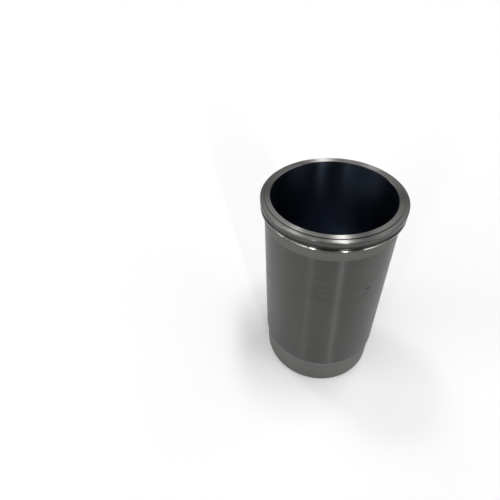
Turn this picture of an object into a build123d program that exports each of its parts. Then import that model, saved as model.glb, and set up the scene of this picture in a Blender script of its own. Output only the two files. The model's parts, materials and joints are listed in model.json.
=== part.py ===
from build123d import *
import os

# Cylinder liner: one tube of cast iron, turned outside and honed inside.
# Millimetres. +Z runs up the bore and the origin is the centre of the bottom end face.

# The tube
height = 240.0
bore_diameter = 123.8
body_wall = 6.05

# The flange that hangs in the block's counterbore: a rim, a groove and a bead above the seat
flange_reach = 4.0
rim_height = 5.2
groove_height = 5.0
groove_depth = 1.6
bead_height = 1.3

# The fire lip that stands on the flange, inside its ledge
ledge_width = 4.45
lip_height = 1.0

# The relief turned in the corner under the flange
relief_length = 2.5
relief_depth = 0.7

# The ground bands that locate the liner in the block, and the tapers that lead them in
upper_pilot_length = 10.3
upper_pilot_step = 0.6
upper_lead_height = 1.0
lower_pilot_length = 32.0
lower_pilot_step = 1.65
lower_lead_height = 5.0
tail_lead_height = 3.0
tail_lead_step = 1.0

# Broken edges and blends
mouth_chamfer = 0.4
tail_chamfer = 1.2
lip_chamfer = 0.2
rim_top_chamfer = 0.6
rim_bottom_chamfer = 0.3
groove_blend = 0.8
bead_blend = 0.9
seat_chamfer = 0.3
relief_blend = 0.5

# Radii
bore_radius = bore_diameter / 2
body_radius = bore_radius + body_wall
flange_radius = body_radius + flange_reach
groove_radius = flange_radius - groove_depth
lip_radius = flange_radius - ledge_width
upper_pilot_radius = body_radius + upper_pilot_step
relief_radius = upper_pilot_radius - relief_depth
lower_pilot_radius = body_radius - lower_pilot_step
tail_radius = lower_pilot_radius - tail_lead_step

# Heights, from the top down and then from the bottom up
ledge_level = height - lip_height
groove_top = ledge_level - rim_height
bead_top = groove_top - groove_height
seat_level = bead_top - bead_height
flare_top = bead_top + groove_depth
shoulder_level = seat_level - relief_length
upper_pilot_base = shoulder_level - upper_pilot_length
lower_pilot_top = tail_lead_height + lower_pilot_length


def rim(radius, level):
    """The circular edge of this radius at this height."""
    circles = cylinder_liner.edges().filter_by(GeomType.CIRCLE)
    at_level = circles.filter_by_position(Axis.Z, level - 0.001, level + 0.001)
    return at_level.sort_by(lambda edge: abs(edge.radius - radius))[0]


with BuildPart() as cylinder_liner:
    # The section with sharp corners, from the tail up the outside to the fire lip
    with BuildSketch(Plane.XZ):
        with BuildLine():
            Polyline(
                (bore_radius, 0),
                (tail_radius, 0),
                (lower_pilot_radius, tail_lead_height),
                (lower_pilot_radius, lower_pilot_top),
                (body_radius, lower_pilot_top + lower_lead_height),
                (body_radius, upper_pilot_base - upper_lead_height),
                (upper_pilot_radius, upper_pilot_base),
                (upper_pilot_radius, shoulder_level),
                (relief_radius, shoulder_level),
                (relief_radius, seat_level),
                (flange_radius, seat_level),
                (flange_radius, bead_top),
                (groove_radius, flare_top),
                (groove_radius, groove_top),
                (flange_radius, groove_top),
                (flange_radius, ledge_level),
                (lip_radius, ledge_level),
                (lip_radius, height),
                (bore_radius, height),
                close=True,
            )
        make_face()
    revolve(axis=Axis.Z)

    # The bore: a broken edge at the mouth and a lead-in at the tail
    chamfer(rim(bore_radius, height), mouth_chamfer)
    chamfer(rim(bore_radius, 0), tail_chamfer)

    # The fire lip and the rim of the flange: broken edges
    chamfer(rim(lip_radius, height), lip_chamfer)
    chamfer(rim(flange_radius, ledge_level), rim_top_chamfer)
    chamfer(rim(flange_radius, groove_top), rim_bottom_chamfer)

    # The groove runs out over a rounded bead
    fillet([rim(groove_radius, groove_top), rim(groove_radius, flare_top)], groove_blend)
    fillet(rim(flange_radius, bead_top), bead_blend)

    # The seat and the relief under it
    chamfer(rim(flange_radius, seat_level), seat_chamfer)
    fillet(rim(relief_radius, seat_level), relief_blend)

cylinder_liner.part.label = "cylinder_liner"

os.makedirs("parts", exist_ok=True)
export_step(cylinder_liner.part, "parts/cylinder_liner.step")
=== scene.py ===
"""Visual model of a cylinder liner: one turned iron tube, with a finish for each kind of face. Some
finishes also hold painted shade, painted highlight or painted reflection in their colour.

Lengths are in metres. The bore stands on +Z, and the origin is the centre of the bottom face.
"""

from __future__ import annotations

import json
import logging
import math
from dataclasses import dataclass
from enum import Enum
from typing import ClassVar

import bpy
from mathutils import Matrix, Vector

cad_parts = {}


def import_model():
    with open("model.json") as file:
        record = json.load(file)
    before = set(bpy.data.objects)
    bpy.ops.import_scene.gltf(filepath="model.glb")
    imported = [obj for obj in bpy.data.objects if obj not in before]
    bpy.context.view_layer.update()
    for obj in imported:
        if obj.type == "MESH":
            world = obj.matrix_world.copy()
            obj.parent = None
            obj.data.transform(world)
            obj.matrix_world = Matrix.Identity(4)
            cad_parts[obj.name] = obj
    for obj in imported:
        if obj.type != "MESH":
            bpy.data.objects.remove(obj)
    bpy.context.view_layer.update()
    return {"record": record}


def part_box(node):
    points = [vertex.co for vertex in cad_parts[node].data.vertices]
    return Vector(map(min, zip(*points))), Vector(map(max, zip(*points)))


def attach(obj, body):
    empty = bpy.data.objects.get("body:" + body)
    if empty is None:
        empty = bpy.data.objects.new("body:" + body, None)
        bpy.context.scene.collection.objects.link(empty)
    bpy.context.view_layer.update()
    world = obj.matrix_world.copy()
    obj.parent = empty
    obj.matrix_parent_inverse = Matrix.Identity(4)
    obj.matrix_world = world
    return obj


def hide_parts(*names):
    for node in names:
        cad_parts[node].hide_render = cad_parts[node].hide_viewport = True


LOG = logging.getLogger("cylinder_liner")
NODE = "cylinder_liner"
BODY = "root"
MM = 0.001
QUARTER_TURN = 0.25
Colour = tuple[float, float, float]


class Wiring:
    """Adds nodes to one node tree and joins their sockets."""

    def __init__(self, tree: bpy.types.NodeTree) -> None:
        """Starts wiring a tree.

        Args:
            tree: The shader or geometry tree that gets the nodes.
        """
        self.tree = tree

    def add(self, kind: str, inputs: dict | None = None, **settings: object) -> bpy.types.Node:
        """Adds a node.

        Args:
            kind: The node's type name.
            inputs: A value or an output socket for each named or numbered input.
            settings: Properties of the node itself.

        Returns:
            The new node.
        """
        node = self.tree.nodes.new(kind)
        for name, value in settings.items():
            setattr(node, name, value)
        for key, value in (inputs or {}).items():
            if isinstance(value, bpy.types.NodeSocket):
                self.tree.links.new(value, node.inputs[key])
            else:
                node.inputs[key].default_value = value
        return node

    def math(self, operation: str, *values: object) -> bpy.types.NodeSocket:
        """Adds a Math node and returns its output.

        Args:
            operation: The node's operation, such as MULTIPLY.
            values: One to three numbers or sockets.

        Returns:
            The result's socket.
        """
        kind = "ShaderNodeMath"
        return self.add(kind, dict(enumerate(values)), operation=operation).outputs[0]

    def socket(self, name: str, kind: str, default: object = None, output: bool = False) -> None:
        """Adds a named socket to the tree's own interface.

        Args:
            name: The socket's name.
            kind: Its short type name, such as Float.
            default: The value that it holds when nothing is joined to it.
            output: True for an output.
        """
        way = "OUTPUT" if output else "INPUT"
        made = self.tree.interface.new_socket(name, in_out=way, socket_type=f"NodeSocket{kind}")
        if default is not None:
            made.default_value = default


class Surface(Enum):
    """The faces of the liner that are finished differently. GROOVE is a dark colour that paints the shade
    in the groove and at the lip's foot.
    """

    BORE = 0
    LAND = 1
    RIM = 2
    GROOVE = 3
    BEAD = 4
    SEAT = 5
    PILOT = 6
    BODY = 7
    BAND = 8
    EDGE = 9


class Break(Enum):
    """How a corner of the section is broken."""

    ROUND = "round"
    CHAMFER = "chamfer"


@dataclass(frozen=True)
class Corner:
    """A corner of the section, and the face that runs on from it.

    Attributes:
        radius: Its distance from the bore's axis.
        level: Its height.
        face: The finish of the face that starts here.
        size: The round's radius or the chamfer's leg.
        kind: How the corner is broken.
        blend: The finish of the round or chamfer itself.
    """

    radius: float
    level: float
    face: Surface
    size: float
    kind: Break = Break.ROUND
    blend: Surface = Surface.EDGE

    @property
    def point(self) -> Vector:
        """The corner as a point of the section."""
        return Vector((self.radius, self.level))


@dataclass(frozen=True)
class LinerSizes:
    """The sizes that the section is drawn from. Those with no value come from the frame."""

    height: float
    bore_radius: float
    flange_radius: float
    seat_level: float
    upper_pilot_radius: float
    upper_pilot_base: float
    shoulder_level: float
    lower_pilot_radius: float
    tail_lead_height: float
    lower_pilot_top: float
    flange_reach: float = 4.0 * MM
    bead_height: float = 1.3 * MM
    groove_height: float = 5.0 * MM
    groove_depth: float = 1.6 * MM
    lip_height: float = 1.0 * MM
    ledge_width: float = 4.45 * MM
    relief_depth: float = 0.7 * MM
    upper_lead_height: float = 1.0 * MM
    lower_lead_height: float = 5.0 * MM
    tail_lead_step: float = 1.0 * MM
    tail_chamfer: float = 1.2 * MM
    mouth_chamfer: float = 0.4 * MM
    lip_chamfer: float = 0.2 * MM
    rim_top_chamfer: float = 0.6 * MM
    rim_bottom_chamfer: float = 0.3 * MM
    seat_chamfer: float = 0.3 * MM
    groove_blend: float = 0.8 * MM
    groove_foot_blend: float = 3.2 * MM
    bead_blend: float = 0.3 * MM
    bead_face_drop: float = 0.45 * MM
    bead_face_lean: float = math.radians(28.0)
    relief_blend: float = 0.5 * MM
    lead_blend: float = 1.5 * MM
    tool_radius: float = 0.12 * MM
    edge_radius: float = 0.05 * MM

    @classmethod
    def from_frame(cls, record: dict) -> LinerSizes:
        """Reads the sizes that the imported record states.

        Args:
            record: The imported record.

        Returns:
            The liner's sizes.
        """
        mounts = {mount["name"]: mount for mount in record["mounts"]}

        def radius(name: str) -> float:
            """The radius of a round mount."""
            return mounts[name]["dims"]["r_mm"] * MM

        def level(name: str) -> float:
            """The height of a mount's own point."""
            return mounts[name]["pos_m"][2]

        def half_length(name: str) -> float:
            """Half the length of a round mount."""
            return mounts[name]["dims"]["length_mm"] * MM / 2

        low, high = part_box(NODE)
        return cls(
            height=level("fire_lip"),
            bore_radius=radius("piston_bore"),
            flange_radius=(high.x - low.x) / 2,
            seat_level=level("flange_seat"),
            upper_pilot_radius=radius("upper_pilot"),
            upper_pilot_base=level("upper_pilot") - half_length("upper_pilot"),
            shoulder_level=level("upper_pilot") + half_length("upper_pilot"),
            lower_pilot_radius=radius("lower_pilot"),
            tail_lead_height=level("lower_pilot") - half_length("lower_pilot"),
            lower_pilot_top=level("lower_pilot") + half_length("lower_pilot"),
        )

    @property
    def body_radius(self) -> float:
        """Radius of the long middle of the liner."""
        return self.flange_radius - self.flange_reach

    @property
    def groove_radius(self) -> float:
        """Radius at the floor of the flange's groove."""
        return self.flange_radius - self.groove_depth

    @property
    def lip_radius(self) -> float:
        """Outer radius of the fire lip."""
        return self.flange_radius - self.ledge_width

    @property
    def ledge_level(self) -> float:
        """Height of the flange's top face, outside the lip."""
        return self.height - self.lip_height

    @property
    def bead_top(self) -> float:
        """Height of the sharp corner over the bead."""
        return self.seat_level + self.bead_height

    @property
    def bead_face_base(self) -> float:
        """Height at which the bead's bright face starts."""
        return self.bead_top - self.bead_face_drop

    @property
    def bead_face_reach(self) -> float:
        """How far in and up from the sharp corner the bead's face meets the flare."""
        lean = math.tan(self.bead_face_lean)
        return self.bead_face_drop * lean / (1 - lean)

    def corners(self) -> list[Corner]:
        """Lists the section's corners, from the tail up the outside, over the lip and down the bore.

        Returns:
            The corners in order.
        """
        body, flange = self.body_radius, self.flange_radius
        relief = self.upper_pilot_radius - self.relief_depth
        tail = self.lower_pilot_radius - self.tail_lead_step
        body_base = self.lower_pilot_top + self.lower_lead_height
        body_top = self.upper_pilot_base - self.upper_lead_height
        groove_top = self.bead_top + self.groove_height
        flare_top = self.bead_top + self.groove_depth
        face_radius = flange - self.bead_face_reach
        face_top = self.bead_top + self.bead_face_reach
        chamfer, tool, lead = Break.CHAMFER, self.tool_radius, self.lead_blend
        # groove holds the dark finish whose colour is painted shade; bead holds the finish whose raised
        # colour is painted highlight.
        band, bead, groove = Surface.BAND, Surface.BEAD, Surface.GROOVE
        rim, seat = Surface.RIM, Surface.SEAT
        return [
            Corner(self.bore_radius, 0.0, seat, self.tail_chamfer, chamfer, seat),
            Corner(tail, 0.0, band, tool),
            Corner(self.lower_pilot_radius, self.tail_lead_height, band, lead, blend=band),
            Corner(self.lower_pilot_radius, self.lower_pilot_top, band, lead, blend=band),
            Corner(body, body_base, Surface.BODY, lead, blend=Surface.BODY),
            Corner(body, body_top, Surface.PILOT, tool, blend=Surface.BODY),
            Corner(self.upper_pilot_radius, self.upper_pilot_base, Surface.PILOT, tool),
            Corner(self.upper_pilot_radius, self.shoulder_level, seat, tool),
            Corner(relief, self.shoulder_level, seat, tool, blend=seat),
            Corner(relief, self.seat_level, seat, self.relief_blend, blend=seat),
            Corner(flange, self.seat_level, groove, self.seat_chamfer, chamfer, groove),
            Corner(flange, self.bead_face_base, bead, self.bead_blend, blend=bead),
            Corner(face_radius, face_top, groove, self.bead_blend, blend=bead),
            Corner(self.groove_radius, flare_top, groove, self.groove_foot_blend, blend=groove),
            Corner(self.groove_radius, groove_top, groove, self.groove_blend, blend=groove),
            Corner(flange, groove_top, rim, self.rim_bottom_chamfer, chamfer),
            Corner(flange, self.ledge_level, Surface.LAND, self.rim_top_chamfer, chamfer),
            # The lip's wall and its top chamfer take the groove's dark colour: painted shade that draws
            # the dark line at the lip's foot.
            Corner(self.lip_radius, self.ledge_level, groove, tool, blend=groove),
            Corner(self.lip_radius, self.height, Surface.LAND, self.lip_chamfer, chamfer, groove),
            Corner(self.bore_radius, self.height, Surface.BORE, self.mouth_chamfer, chamfer, bead),
        ]


@dataclass(frozen=True)
class SectionPoint:
    """A point of the finished outline, and the finish of the stretch that starts at it."""

    place: Vector
    face: Surface


class Section:
    """Draws the liner's section as one closed outline with every corner broken.

    Attributes:
        arc_step: The largest turn from one point of an arc to the next.
        guard: How far the guard points stand from the ends of a straight run.
        shortest_guarded: The length over which a straight run gets guard points.
    """

    arc_step: ClassVar[float] = math.radians(12.0)
    guard: ClassVar[float] = 0.12 * MM
    shortest_guarded: ClassVar[float] = 4 * guard

    def __init__(self, sizes: LinerSizes) -> None:
        """Keeps the sizes that the section is drawn from.

        Args:
            sizes: The liner's sizes.
        """
        self.sizes = sizes

    def broken_corners(self) -> list[Corner]:
        """Turns each chamfered corner into two lightly rounded ones.

        Returns:
            The corners in order, all of them round.
        """
        corners = self.sizes.corners()
        broken = []
        for index, corner in enumerate(corners):
            if corner.kind is Break.ROUND:
                broken.append(corner)
                continue
            before = corners[index - 1].point
            after = corners[(index + 1) % len(corners)].point
            start = corner.point + (before - corner.point).normalized() * corner.size
            end = corner.point + (after - corner.point).normalized() * corner.size
            light = self.sizes.edge_radius
            broken.append(Corner(*start, corner.blend, light, blend=corner.blend))
            broken.append(Corner(*end, corner.face, light, blend=corner.blend))
        return broken

    def rounded(self, corner: Corner, before: Vector, after: Vector) -> list[SectionPoint]:
        """Draws the arc that breaks one corner.

        Args:
            corner: The corner.
            before: The corner that the outline comes from.
            after: The corner that it goes on to.

        Returns:
            The arc's points. The last one starts the next face.
        """
        into = (corner.point - before).normalized()
        out = (after - corner.point).normalized()
        turn = into.angle_signed(out)
        reach = corner.size * math.tan(abs(turn) / 2)
        side = math.copysign(corner.size, -turn)
        centre = corner.point - into * reach + Vector((-into.y, into.x)) * side
        spoke = corner.point - into * reach - centre
        steps = max(2, math.ceil(abs(turn) / self.arc_step))
        points = []
        for step in range(steps + 1):
            turned = Matrix.Rotation(-turn * step / steps, 2) @ spoke
            face = corner.face if step == steps else corner.blend
            points.append(SectionPoint(centre + turned, face))
        return points

    def outline(self) -> list[SectionPoint]:
        """Joins the arcs, with a guard point near each end of every longer straight run.

        Returns:
            The points of the whole outline.
        """
        corners = self.broken_corners()
        arcs = [
            self.rounded(corner, corners[index - 1].point, corners[(index + 1) % len(corners)].point)
            for index, corner in enumerate(corners)
        ]
        points = []
        for index, arc in enumerate(arcs):
            points.extend(arc)
            start, end = arc[-1].place, arcs[(index + 1) % len(arcs)][0].place
            if (end - start).length > self.shortest_guarded:
                along = (end - start).normalized() * self.guard
                points.append(SectionPoint(start + along, arc[-1].face))
                points.append(SectionPoint(end - along, arc[-1].face))
        return points

    def mesh(self, name: str) -> bpy.types.Mesh:
        """Writes the outline as a closed chain of edges in the XZ plane.

        Args:
            name: The mesh's name.

        Returns:
            A mesh whose points carry the number of their face's finish.
        """
        points = self.outline()
        mesh = bpy.data.meshes.new(name)
        places = [(point.place.x, 0.0, point.place.y) for point in points]
        mesh.from_pydata(places, [(i, (i + 1) % len(places)) for i in range(len(places))], [])
        faces = mesh.attributes.new(Lathe.finish_name, "INT", "POINT")
        faces.data.foreach_set("value", [point.face.value for point in points])
        return mesh


class Lathe:
    """A geometry tree that turns a section round the Z axis and gives each face its finish.

    Attributes:
        finish_name: The attribute of the section's points that holds the number of their finish.
        steps_round: How many faces the turned mesh has round the axis.
    """

    finish_name: ClassVar[str] = "finish"
    steps_round: ClassVar[int] = 480

    def __init__(self) -> None:
        """Builds the tree."""
        self.tree = bpy.data.node_groups.new("lathe", "GeometryNodeTree")
        self.wiring = Wiring(self.tree)
        self.wiring.socket("Section", "Geometry")
        self.wiring.socket("Bore Radius", "Float")
        self.wiring.socket("Steps Round", "Int")
        for surface in Surface:
            self.wiring.socket(self.label(surface), "Material")
        self.wiring.socket("Liner", "Geometry", output=True)
        self.wire()

    @staticmethod
    def label(surface: Surface) -> str:
        """The name of the input that takes a face's material."""
        return f"{surface.name.title()} Finish"

    def wire(self) -> None:
        """Joins section, circle, sweep and finishes."""
        add = self.wiring.add
        given = add("NodeGroupInput").outputs
        chain = add("GeometryNodeMeshToCurve", {"Mesh": given["Section"]}).outputs[0]
        inward = self.wiring.math("MULTIPLY", given["Bore Radius"], -1.0)
        shift = add("ShaderNodeCombineXYZ", {"X": inward}).outputs[0]
        upright = add(
            "GeometryNodeTransform",
            {"Geometry": chain, "Translation": shift, "Rotation": (math.pi / 2, 0.0, 0.0)},
        ).outputs[0]
        circle = add(
            "GeometryNodeCurvePrimitiveCircle",
            {"Resolution": given["Steps Round"], "Radius": given["Bore Radius"]},
            mode="RADIUS",
        ).outputs[0]
        ends = {"Curve": circle, "Profile Curve": upright}
        swept = add("GeometryNodeCurveToMesh", ends).outputs[0]
        outward = add("GeometryNodeFlipFaces", {"Mesh": swept}).outputs[0]
        smooth = add("GeometryNodeSetShadeSmooth", {"Geometry": outward}).outputs[0]
        solid = add("GeometryNodeRealizeInstances", {"Geometry": smooth}).outputs[0]
        finish = self.face_finish(chain)
        for surface in Surface:
            chosen = add(
                "FunctionNodeCompare",
                {"A": finish, "B": surface.value},
                data_type="INT",
                operation="GREATER_EQUAL",
            )
            dressed = {
                "Geometry": solid,
                "Selection": chosen.outputs[0],
                "Material": given[self.label(surface)],
            }
            solid = add("GeometryNodeSetMaterial", dressed).outputs[0]
        add("NodeGroupOutput", {"Liner": solid})

    def face_finish(self, chain: bpy.types.NodeSocket) -> bpy.types.NodeSocket:
        """Reads the finish number of each swept face from the section's stretch that made it.

        Args:
            chain: The section as a curve.

        Returns:
            A number for each face.
        """
        add = self.wiring.add
        size = add("GeometryNodeAttributeDomainSize", {"Geometry": chain}, component="CURVE")
        face = add("GeometryNodeInputIndex").outputs[0]
        count = size.outputs["Point Count"]
        stretch = self.wiring.math("MODULO", face, count)
        named = add(
            "GeometryNodeInputNamedAttribute", {"Name": self.finish_name}, data_type="INT"
        ).outputs[0]
        sample = add(
            "GeometryNodeSampleIndex",
            {"Geometry": chain, "Value": named, "Index": stretch},
            data_type="INT",
            domain="POINT",
        )
        return sample.outputs[0]

    def turn(self, section: bpy.types.Mesh, bore_radius: float, finishes: dict) -> bpy.types.Mesh:
        """Turns one section.

        Args:
            section: The outline's chain of edges.
            bore_radius: The radius of the circle that it is swept round.
            finishes: The material of each Surface.

        Returns:
            The turned solid as a plain mesh.
        """
        blank = bpy.data.objects.new("blank", section)
        bpy.context.scene.collection.objects.link(blank)
        modifier = blank.modifiers.new("lathe", "NODES")
        modifier.node_group = self.tree
        values = {"Bore Radius": bore_radius, "Steps Round": self.steps_round}
        values.update({self.label(surface): finishes[surface] for surface in Surface})
        for item in self.tree.interface.items_tree:
            if item.name in values:
                modifier[item.identifier] = values[item.name]
        graph = bpy.context.evaluated_depsgraph_get()
        turned = bpy.data.meshes.new_from_object(blank.evaluated_get(graph))
        blank.modifiers.remove(modifier)
        bpy.data.objects.remove(blank)
        return turned


class Patterns:
    """Shader node groups for the marks that machining and handling leave.

    Attributes:
        facing_share: How far the rings move with the radius, so that flat faces have rings too.
        ring_layers: Each layer of rings, from fine to broad: its spacing in feeds and its detail.
        ring_weight: The share of the tone of the fine rings, and of the middle ones.
        broad_weight: The share of the tone of the broad rings.
        scuff_core: The reach at which a scuff starts to fade, with its ragged noise counted in.
        scuff_rim: The reach at which it is gone.
    """

    facing_share: ClassVar[float] = 1.3
    ring_layers: ClassVar[tuple[tuple[float, float], ...]] = ((1.0, 1.0), (5.0, 2.0), (24.0, 3.0))
    ring_weight: ClassVar[float] = 0.35
    broad_weight: ClassVar[float] = 0.3
    scuff_core: ClassVar[float] = 0.9
    scuff_rim: ClassVar[float] = 1.6

    def __init__(self) -> None:
        """Builds each group once."""
        self.grain = self.turning_grain()
        self.hatch = self.honing_hatch()
        self.smudge = self.handling_smudge()
        self.scuff = self.scuff_mark()

    @staticmethod
    def group(
        name: str, outputs: list[str], inputs: dict[str, float]
    ) -> tuple[Wiring, bpy.types.NodeOutputs, bpy.types.Node]:
        """Starts a shader group.

        Args:
            name: The group's name.
            outputs: The names of its outputs, each a number.
            inputs: Each input's name and value.

        Returns:
            The group's wiring, its input sockets, and the node that takes its outputs.
        """
        wiring = Wiring(bpy.data.node_groups.new(name, "ShaderNodeTree"))
        for label, value in inputs.items():
            wiring.socket(label, "Float", value)
        for label in outputs:
            wiring.socket(label, "Float", output=True)
        return wiring, wiring.add("NodeGroupInput").outputs, wiring.add("NodeGroupOutput")

    @staticmethod
    def cylinder_places(wiring: Wiring) -> tuple[bpy.types.NodeSocket, ...]:
        """Finds where a point is round the bore's axis.

        Args:
            wiring: The group's wiring.

        Returns:
            The sockets of the heading's two parts on a unit circle, the radius and the height.
        """
        place = wiring.add("ShaderNodeTexCoord").outputs["Object"]
        x, y, z = wiring.add("ShaderNodeSeparateXYZ", {0: place}).outputs
        flat = wiring.add("ShaderNodeCombineXYZ", {0: x, 1: y}).outputs[0]
        length = wiring.add("ShaderNodeVectorMath", {0: flat}, operation="LENGTH")
        radius = length.outputs["Value"]
        return wiring.math("DIVIDE", x, radius), wiring.math("DIVIDE", y, radius), radius, z

    def turning_grain(self) -> bpy.types.NodeTree:
        """Makes the fine rings that a turning tool leaves, in bands of uneven depth.

        Feed is the spacing of the finest rings, and Run how soon their tone changes along a ring.

        Returns:
            The group's tree.
        """
        wiring, given, result = self.group(
            "turning_grain", ["Tone", "Height"], {"Feed": 0.25 * MM, "Run": 1.2}
        )
        east, north, radius, height = self.cylinder_places(wiring)
        facing = wiring.math("MULTIPLY", radius, self.facing_share)
        along = wiring.math("SUBTRACT", height, facing)
        layers = []
        for spread, detail in self.ring_layers:
            ring = wiring.math("DIVIDE", along, wiring.math("MULTIPLY", given["Feed"], spread))
            arc_x = wiring.math("MULTIPLY", east, given["Run"])
            arc_y = wiring.math("MULTIPLY", north, given["Run"])
            place = wiring.add("ShaderNodeCombineXYZ", {0: arc_x, 1: arc_y, 2: ring}).outputs[0]
            inputs = {"Vector": place, "Scale": 1.0, "Detail": detail}
            layers.append(wiring.add("ShaderNodeTexNoise", inputs).outputs["Fac"])
        fine, middle, broad = layers
        mixed = wiring.math("MULTIPLY", wiring.math("ADD", fine, middle), self.ring_weight)
        tone = wiring.math("ADD", mixed, wiring.math("MULTIPLY", broad, self.broad_weight))
        wiring.tree.links.new(tone, result.inputs["Tone"])
        wiring.tree.links.new(fine, result.inputs["Height"])
        return wiring.tree

    def honing_hatch(self) -> bpy.types.NodeTree:
        """Makes two crossing families of scratches, each a helix round the bore.

        Starts is the number of scratches round the bore, and Climb how many a metre of height passes.

        Returns:
            The group's tree.
        """
        wiring, given, result = self.group(
            "honing_hatch", ["Tone", "Height"], {"Starts": 430.0, "Climb": 460.0}
        )
        east, north, radius, height = self.cylinder_places(wiring)
        turns = wiring.math("DIVIDE", wiring.math("ARCTAN2", north, east), math.tau)
        rise = wiring.math("MULTIPLY", height, given["Climb"])
        around = wiring.math("MULTIPLY", turns, given["Starts"])
        families = []
        for operation in ("ADD", "SUBTRACT"):
            phase = wiring.math(operation, around, rise)
            line = wiring.math("WRAP", wiring.math("FLOOR", phase), given["Starts"], 0.0)
            depth = wiring.add("ShaderNodeTexWhiteNoise", {"W": line}, noise_dimensions="1D")
            across = wiring.math("PINGPONG", phase, 0.5)
            families.append(wiring.math("MULTIPLY", depth.outputs["Value"], across))
        both = wiring.math("ADD", *families)
        wiring.tree.links.new(both, result.inputs["Tone"])
        wiring.tree.links.new(both, result.inputs["Height"])
        return wiring.tree

    def handling_smudge(self) -> bpy.types.NodeTree:
        """Makes the soft uneven patches where oil and hands have been, of about the given Size.

        Returns:
            The group's tree.
        """
        wiring, given, result = self.group("handling_smudge", ["Patch"], {"Size": 30.0 * MM})
        place = wiring.add("ShaderNodeTexCoord").outputs["Object"]
        scale = wiring.math("DIVIDE", 1.0, given["Size"])
        inputs = {"Vector": place, "Scale": scale, "Detail": 4.0, "Roughness": 0.55}
        noise = wiring.add("ShaderNodeTexNoise", inputs)
        wiring.tree.links.new(noise.outputs["Fac"], result.inputs["Patch"])
        return wiring.tree

    def scuff_mark(self) -> bpy.types.NodeTree:
        """Makes a small ragged oval on a round face, at a Heading and with its Middle at a height.

        Returns:
            The group's tree.
        """
        sizes = {"Heading": 0.0, "Middle": 0.0, "Half Length": MM, "Half Height": MM}
        wiring, given, result = self.group("scuff_mark", ["Mask"], sizes)
        east, north, radius, height = self.cylinder_places(wiring)
        turned = wiring.math("SUBTRACT", wiring.math("ARCTAN2", north, east), given["Heading"])
        arc = wiring.math("MULTIPLY", turned, radius)
        climb = wiring.math("SUBTRACT", height, given["Middle"])
        along = wiring.math("DIVIDE", arc, given["Half Length"])
        rise = wiring.math("DIVIDE", climb, given["Half Height"])
        spot = wiring.add("ShaderNodeCombineXYZ", {0: along, 1: rise}).outputs[0]
        reach = wiring.add("ShaderNodeVectorMath", {0: spot}, operation="LENGTH").outputs["Value"]
        ragged = wiring.add("ShaderNodeTexNoise", {"Vector": spot, "Scale": 2.0, "Detail": 2.0})
        edge = wiring.math("ADD", reach, ragged.outputs["Fac"])
        fade = {"Value": edge, "From Min": self.scuff_core, "From Max": self.scuff_rim}
        fade.update({"To Min": 1.0, "To Max": 0.0})
        mask = wiring.add("ShaderNodeMapRange", fade, interpolation_type="SMOOTHSTEP")
        wiring.tree.links.new(mask.outputs["Result"], result.inputs["Mask"])
        return wiring.tree


@dataclass(frozen=True)
class Mark:
    """One small scuff on a round face.

    Attributes:
        heading: Its direction round +Z, in degrees from +X.
        height: The height of its middle.
        half_length: Half its length round the face.
        half_height: Half its height.
        change: How far it changes the tone, as a share. A negative one is darker.
    """

    heading: float
    height: float
    half_length: float
    half_height: float
    change: float

    def share(self, wiring: Wiring, patterns: Patterns) -> bpy.types.NodeSocket:
        """Adds the scuff to a material.

        Args:
            wiring: The material's wiring.
            patterns: The shared shader groups.

        Returns:
            The socket of the share of the tone that is left at each point.
        """
        scuff = wiring.add("ShaderNodeGroup", node_tree=patterns.scuff)
        scuff.inputs["Heading"].default_value = math.radians(self.heading)
        scuff.inputs["Middle"].default_value = self.height
        scuff.inputs["Half Length"].default_value = self.half_length
        scuff.inputs["Half Height"].default_value = self.half_height
        return wiring.math("MULTIPLY_ADD", scuff.outputs["Mask"], self.change, 1.0)


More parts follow.
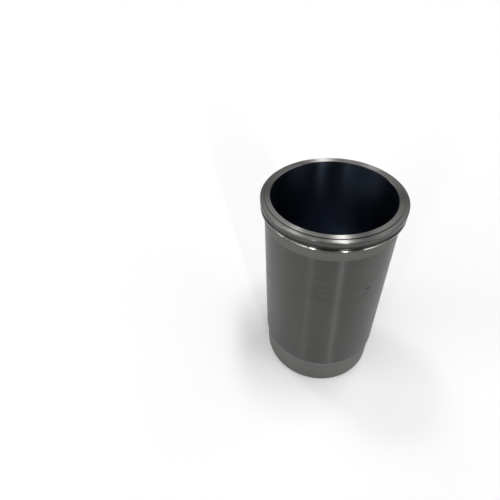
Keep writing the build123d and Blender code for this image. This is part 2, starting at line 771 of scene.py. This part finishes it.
@dataclass(frozen=True)
class TurnedFinish:
    """The finish of a face cut or ground on a lathe.

    Attributes:
        name: The material's name.
        colour: The metal's colour. For the groove, the bead and the bore it also holds painted shade,
            painted highlight or painted reflection.
        roughness: Its mean roughness.
        grain: How much wider a highlight spreads across the rings than along them, 0 to 1.
        contrast: How far the rings' tone departs from the colour.
        feed: The spacing of the finest rings.
        relief: The height of the rings as bump.
        smudge: How far smudges change the tone.
        hatched: True for the crossed scratches of a honed bore instead of rings.
        marks: The scuffs on the face.
        patchiness: How far the roughness varies with the smudges, as a share of it.
    """

    name: str
    colour: Colour
    roughness: float
    grain: float
    contrast: float = 0.15
    feed: float = 0.25 * MM
    relief: float = 0.002 * MM
    smudge: float = 0.1
    hatched: bool = False
    marks: tuple[Mark, ...] = ()
    patchiness: ClassVar[float] = 0.2

    def material(self, patterns: Patterns) -> bpy.types.Material:
        """Builds the finish as a material.

        Args:
            patterns: The shared shader groups.

        Returns:
            The material.
        """
        material = bpy.data.materials.new(self.name)
        material.use_nodes = True
        material.node_tree.nodes.clear()
        wiring = Wiring(material.node_tree)
        if self.hatched:
            lines = wiring.add("ShaderNodeGroup", node_tree=patterns.hatch)
        else:
            lines = wiring.add("ShaderNodeGroup", node_tree=patterns.grain)
            lines.inputs["Feed"].default_value = self.feed
        patch = wiring.add("ShaderNodeGroup", node_tree=patterns.smudge).outputs["Patch"]
        tone = self.varied(wiring, lines.outputs["Tone"], self.contrast)
        level = wiring.math("MULTIPLY", tone, self.varied(wiring, patch, self.smudge))
        for mark in self.marks:
            level = wiring.math("MULTIPLY", level, mark.share(wiring, patterns))
        colour = wiring.add(
            "ShaderNodeVectorMath", {0: self.colour, "Scale": level}, operation="SCALE"
        ).outputs[0]
        least = (1 - self.patchiness / 2) * self.roughness
        rough = wiring.math("MULTIPLY_ADD", patch, self.patchiness * self.roughness, least)
        rings = {"Strength": 1.0, "Distance": self.relief, "Height": lines.outputs["Height"]}
        bump = wiring.add("ShaderNodeBump", rings)
        tangent = wiring.add("ShaderNodeTangent", direction_type="RADIAL", axis="Z")
        metal = wiring.add(
            "ShaderNodeBsdfPrincipled",
            {
                "Base Color": colour,
                "Metallic": 1.0,
                "Roughness": rough,
                "Anisotropic": self.grain,
                "Anisotropic Rotation": QUARTER_TURN,
                "Normal": bump.outputs[0],
                "Tangent": tangent.outputs[0],
            },
        )
        wiring.add("ShaderNodeOutputMaterial", {"Surface": metal.outputs[0]})
        return material

    @staticmethod
    def varied(
        wiring: Wiring, pattern: bpy.types.NodeSocket, depth: float
    ) -> bpy.types.NodeSocket:
        """Turns a pattern from 0 to 1 into a factor round 1.

        Args:
            wiring: The material's wiring.
            pattern: The pattern's socket.
            depth: How far the factor goes below and above 1.

        Returns:
            The factor's socket.
        """
        return wiring.math("MULTIPLY_ADD", pattern, 2 * depth, 1 - depth)


SCUFFS = (
    Mark(heading=-64.2, height=166.6 * MM, half_length=3.4 * MM, half_height=2.0 * MM, change=-0.9),
    Mark(heading=-69.5, height=164.0 * MM, half_length=3.6 * MM, half_height=2.2 * MM, change=0.25),
    Mark(heading=-66.2, height=160.6 * MM, half_length=4.5 * MM, half_height=1.4 * MM, change=-0.3),
)

FINISHES = {
    # The blue cast of this colour is painted reflection of a bluish room; the bore's darkness is its own
    # dark finish.
    Surface.BORE: TurnedFinish(
        "honed_bore_painted_blue",
        (0.105, 0.132, 0.192),
        roughness=0.26,
        grain=0.85,
        smudge=0.04,
        hatched=True,
    ),
    Surface.LAND: TurnedFinish("faced_land", (0.43, 0.424, 0.41), roughness=0.34, grain=1.0),
    Surface.RIM: TurnedFinish("turned_rim", (0.086, 0.084, 0.081), roughness=0.32, grain=0.85),
    # Painted shade: a colour far darker than the rim's, for the groove, the lip's wall and two chamfers,
    # where the flange and the lip shade them.
    Surface.GROOVE: TurnedFinish("groove_painted_shade", (0.036, 0.0353, 0.0342), roughness=0.25, grain=0.5),
    # Painted highlight: the bead's colour is raised far above the groove's so that its highlight reads
    # brighter, and the bore's mouth chamfer takes it too; the low roughness is the bead's polish.
    Surface.BEAD: TurnedFinish("polished_bead_painted_highlight", (0.29, 0.286, 0.277), roughness=0.14, grain=0.3),
    Surface.SEAT: TurnedFinish("turned_seat", (0.15, 0.148, 0.142), roughness=0.35, grain=0.8),
    Surface.PILOT: TurnedFinish("ground_pilot", (0.129, 0.126, 0.118), roughness=0.5, grain=0.5),
    Surface.BODY: TurnedFinish(
        "turned_body",
        (0.082, 0.0815, 0.0795),
        roughness=0.265,
        grain=1.0,
        contrast=0.34,
        marks=SCUFFS,
    ),
    Surface.BAND: TurnedFinish("ground_band", (0.141, 0.14, 0.136), roughness=0.48, grain=0.5),
    Surface.EDGE: TurnedFinish("broken_edge", (0.19, 0.187, 0.18), roughness=0.3, grain=1.0),
}


class CylinderLiner:
    """The liner itself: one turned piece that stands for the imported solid."""

    def __init__(self, sizes: LinerSizes) -> None:
        """Keeps the liner's sizes.

        Args:
            sizes: Sizes read from the frame.
        """
        self.sizes = sizes

    def build(self) -> bpy.types.Object:
        """Turns, dresses and places the liner.

        Returns:
            The finished piece.
        """
        patterns = Patterns()
        finishes = {surface: FINISHES[surface].material(patterns) for surface in Surface}
        section = Section(self.sizes).mesh("liner_section")
        mesh = Lathe().turn(section, self.sizes.bore_radius, finishes)
        mesh.name = "liner_shell"
        piece = bpy.data.objects.new("liner_shell", mesh)
        bpy.context.scene.collection.objects.link(piece)
        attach(piece, BODY)
        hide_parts(NODE)
        return piece


@dataclass(frozen=True)
class Panel:
    """A flat lamp far from the liner that faces it.

    Attributes:
        heading: The direction of its middle round +Z, in degrees from +X.
        climb: The height of its middle above the horizon, in degrees.
        half_width: Half its width, in degrees.
        half_height: Half its height, in degrees.
        level: How bright it looks, where 1 is a white wall's level.
        distance: How far it hangs from the origin.
    """

    heading: float
    climb: float
    half_width: float
    half_height: float
    level: float
    distance: ClassVar[float] = 40.0

    def build(self, name: str) -> None:
        """Hangs the lamp.

        Args:
            name: The lamp's name.
        """
        lamp = bpy.data.lights.new(name, "AREA")
        lamp.shape = "RECTANGLE"
        lamp.size = 2 * self.distance * math.tan(math.radians(self.half_width))
        lamp.size_y = 2 * self.distance * math.tan(math.radians(self.half_height))
        lamp.energy = self.level * math.pi * lamp.size * lamp.size_y
        tilt = Matrix.Rotation(math.radians(90.0 - self.climb), 4, "X")
        turn = Matrix.Rotation(math.radians(self.heading + 90.0), 4, "Z")
        made = bpy.data.objects.new(name, lamp)
        bpy.context.scene.collection.objects.link(made)
        made.matrix_world = turn @ tilt @ Matrix.Translation((0.0, 0.0, self.distance))


class Studio:
    """The floor, the light and the camera.

    Attributes:
        floor_half_width: Half the width of the square floor.
        floor_colour: Its colour.
        floor_roughness: Its roughness.
        room_level: How bright the plain room is, where 1 is a white wall's level.
        panels: The lamps by name.
        camera_place: Where the camera stands.
        camera_pitch: How far it looks up from the horizon. A negative one looks down.
        camera_roll: How far it is turned about its own line of sight.
        sensor_width: The width of its sensor, in millimetres.
        focal_share: Its focal length as a share of that width.
    """

    floor_half_width: ClassVar[float] = 12.0
    floor_colour: ClassVar[Colour] = (0.92, 0.92, 0.915)
    floor_roughness: ClassVar[float] = 0.9
    room_level: ClassVar[float] = 0.15
    panels: ClassVar[dict[str, Panel]] = {
        "left_softbox": Panel(heading=-160.0, climb=20.0, half_width=27.0, half_height=8.0, level=4.2),
        "left_low_softbox": Panel(heading=-184.0, climb=12.0, half_width=13.0, half_height=7.0, level=3.6),
        "right_low_softbox": Panel(heading=-36.0, climb=13.0, half_width=18.0, half_height=8.0, level=2.9),
        "right_softbox": Panel(heading=14.0, climb=40.0, half_width=32.0, half_height=17.0, level=0.56),
        "back_softbox": Panel(heading=122.0, climb=42.0, half_width=18.0, half_height=14.0, level=0.85),
        "top_softbox": Panel(heading=-90.0, climb=85.0, half_width=24.0, half_height=12.0, level=1.35),
        "ceiling_strip": Panel(heading=0.0, climb=80.0, half_width=14.0, half_height=3.4, level=18.0),
        "back_spot": Panel(heading=132.0, climb=66.0, half_width=4.0, half_height=4.0, level=17.0),
        "left_strip": Panel(heading=-125.0, climb=18.0, half_width=2.5, half_height=14.0, level=12.0),
        "near_strip": Panel(heading=-79.8, climb=15.0, half_width=0.5, half_height=14.0, level=92.0),
    }
    camera_place: ClassVar[tuple[float, float, float]] = (-0.08516, -0.3068, 0.45627)
    camera_pitch: ClassVar[float] = math.radians(-42.795)
    camera_roll: ClassVar[float] = math.radians(-3.80)
    sensor_width: ClassVar[float] = 36.0
    focal_share: ClassVar[float] = 0.7582

    def build(self) -> None:
        """Sets up the whole studio."""
        self.lay_floor()
        self.light_room()
        self.set_camera()
        bpy.context.scene.view_settings.view_transform = "Standard"

    def lay_floor(self) -> None:
        """Adds the pale floor."""
        half = self.floor_half_width
        mesh = bpy.data.meshes.new("studio_floor")
        corners = [(-half, -half, 0.0), (half, -half, 0.0), (half, half, 0.0), (-half, half, 0.0)]
        mesh.from_pydata(corners, [], [(0, 1, 2, 3)])
        material = bpy.data.materials.new("pale_floor")
        material.use_nodes = True
        shader = material.node_tree.nodes["Principled BSDF"]
        shader.inputs["Base Color"].default_value = (*self.floor_colour, 1.0)
        shader.inputs["Roughness"].default_value = self.floor_roughness
        shader.inputs["Specular IOR Level"].default_value = 0.0
        mesh.materials.append(material)
        floor = bpy.data.objects.new("studio_floor", mesh)
        bpy.context.scene.collection.objects.link(floor)

    def light_room(self) -> None:
        """Lights the room evenly and hangs the lamps."""
        world = bpy.data.worlds.new("studio_room")
        bpy.context.scene.world = world
        world.use_nodes = True
        background = world.node_tree.nodes["Background"]
        background.inputs["Color"].default_value = (1.0, 1.0, 1.0, 1.0)
        background.inputs["Strength"].default_value = self.room_level
        for name, panel in self.panels.items():
            panel.build(name)

    def set_camera(self) -> None:
        """Adds the camera that looks down on the liner."""
        lens = bpy.data.cameras.new("studio_camera")
        lens.sensor_width = self.sensor_width
        lens.lens = self.focal_share * self.sensor_width
        camera = bpy.data.objects.new("studio_camera", lens)
        bpy.context.scene.collection.objects.link(camera)
        level = Matrix.Rotation(math.pi / 2 + self.camera_pitch, 4, "X")
        roll = Matrix.Rotation(self.camera_roll, 4, "Z")
        camera.matrix_world = Matrix.Translation(self.camera_place) @ level @ roll
        bpy.context.scene.camera = camera


def main() -> None:
    """Builds the studio and the liner, and logs the liner's face and point counts."""
    logging.basicConfig(level=logging.INFO, format="%(name)s: %(message)s")
    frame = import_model()
    sizes = LinerSizes.from_frame(frame["record"])
    Studio().build()
    piece = CylinderLiner(sizes).build()
    LOG.info("%s: %d faces, %d points", piece.name, len(piece.data.polygons), len(piece.data.vertices))


if __name__ == "__main__":
    main()
